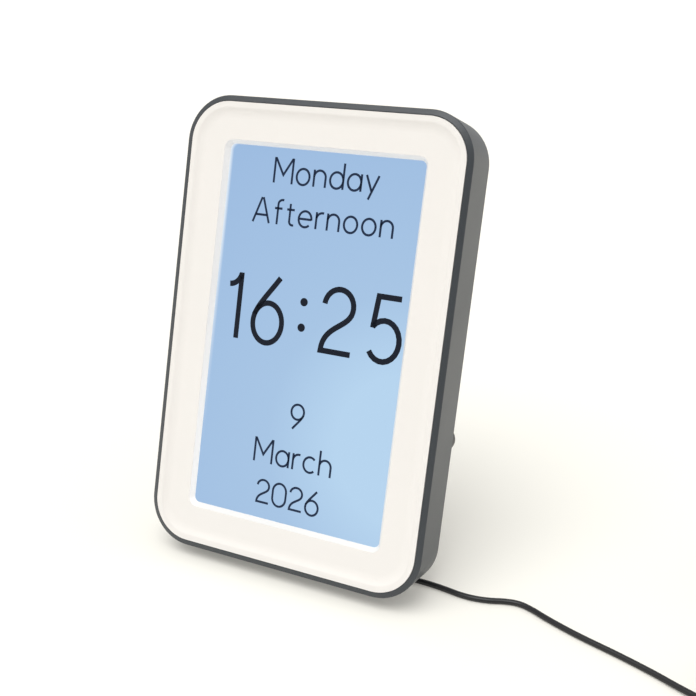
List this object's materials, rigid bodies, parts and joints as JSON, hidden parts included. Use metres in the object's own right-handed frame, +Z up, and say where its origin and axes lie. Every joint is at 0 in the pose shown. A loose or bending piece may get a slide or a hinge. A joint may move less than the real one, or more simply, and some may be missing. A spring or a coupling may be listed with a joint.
{
  "type": "dementia day clock",
  "caption": "Upright digital day clock: white dished face in a grey casing, fold-out stand, rear buttons and a power lead with adapter.",
  "frame": {"origin": "middle of the base of the clock's box, on the table", "axes": "+Z up, the display faces -Y and leans back, +X to the right as the display is read"},
  "size_m": [0.2845, 0.1224, 0.1885],
  "materials": {
    "casing": "matt moulded slate grey plastic",
    "face": "satin moulded white plastic",
    "foam": "black foam",
    "display": "lit display glass",
    "film": "milky film",
    "clear": "clear acrylic",
    "lamps": "lamp strip",
    "tray": "rolled sheet metal",
    "screw": "plated steel",
    "ribbon": "amber ribbon",
    "board": "solder mask",
    "chip": "moulded chip",
    "socket": "ivory socket",
    "coin": "nickel plated steel",
    "black_plastic": "matt black plastic",
    "brass": "plated brass",
    "lead_red": "insulated pair",
    "cable": "flat cable",
    "cover": "matt moulded slate grey plastic",
    "button": "satin white plastic",
    "rubber": "black rubber",
    "pin": "ground steel pin",
    "stand": "matt moulded slate grey plastic",
    "plug": "moulded black plastic",
    "nickel": "nickel plating",
    "cord": "black sheath",
    "tie": "woven strap",
    "adapter": "matt black plastic"
  },
  "bodies": {
    "clock": {"casing": "casing", "front_bezel": "face", "display_gasket": "foam", "display_cell": "display", "diffuser_sheet": "film", "light_guide": "clear", "lamp_strip": "lamps", "backlight_tray": "tray", "display_clips": "tray", "clip_screws": "screw", "display_ribbon": "ribbon", "main_board": "board", "board_chips": "chip", "ribbon_connector": "socket", "coin_cell": "coin", "cell_holder": "black_plastic", "speaker": "black_plastic", "speaker_lead": "lead_red", "power_jack": "black_plastic", "jack_contact": "brass", "key_board": "board", "key_switches": "chip", "key_cable": "cable", "board_screws": "screw", "rear_cover": "cover", "cover_screws": "screw", "rubber_feet": "rubber", "stand_pin": "pin", "plug_body": "plug", "plug_barrel": "nickel", "power_cord": "cord", "cord_coil": "cord", "cord_tail": "cord", "coil_tie": "tie", "adapter_case": "adapter", "adapter_cover": "adapter", "adapter_relief": "plug", "adapter_pins": "nickel"},
    "stand": {"stand_leg": "stand", "stand_foot": "rubber"},
    "button_menu": {"button_menu": "button"},
    "button_up": {"button_up": "button"},
    "button_down": {"button_down": "button"},
    "button_set": {"button_set": "button"}
  },
  "joints": [
    {"name": "stand_fold", "type": "hinge", "parent": "clock", "child": "stand", "pos_m": [0, 0.01356, 0.11182], "axis": [1, 0, 0], "range_deg": [-27.5, 0]},
    {"name": "button_menu_press", "type": "slide", "parent": "clock", "child": "button_menu", "axis": [0, -0.9636, 0.2672], "range_m": [0, 0.0005], "stiffness_N_per_m": 900, "springref_m": -0.0005},
    {"name": "button_up_press", "type": "slide", "parent": "clock", "child": "button_up", "axis": [0, -0.9636, 0.2672], "range_m": [0, 0.0005], "stiffness_N_per_m": 900, "springref_m": -0.0005},
    {"name": "button_down_press", "type": "slide", "parent": "clock", "child": "button_down", "axis": [0, -0.9636, 0.2672], "range_m": [0, 0.0005], "stiffness_N_per_m": 900, "springref_m": -0.0005},
    {"name": "button_set_press", "type": "slide", "parent": "clock", "child": "button_set", "axis": [0, -0.9636, 0.2672], "range_m": [0, 0.0005], "stiffness_N_per_m": 900, "springref_m": -0.0005}
  ]
}
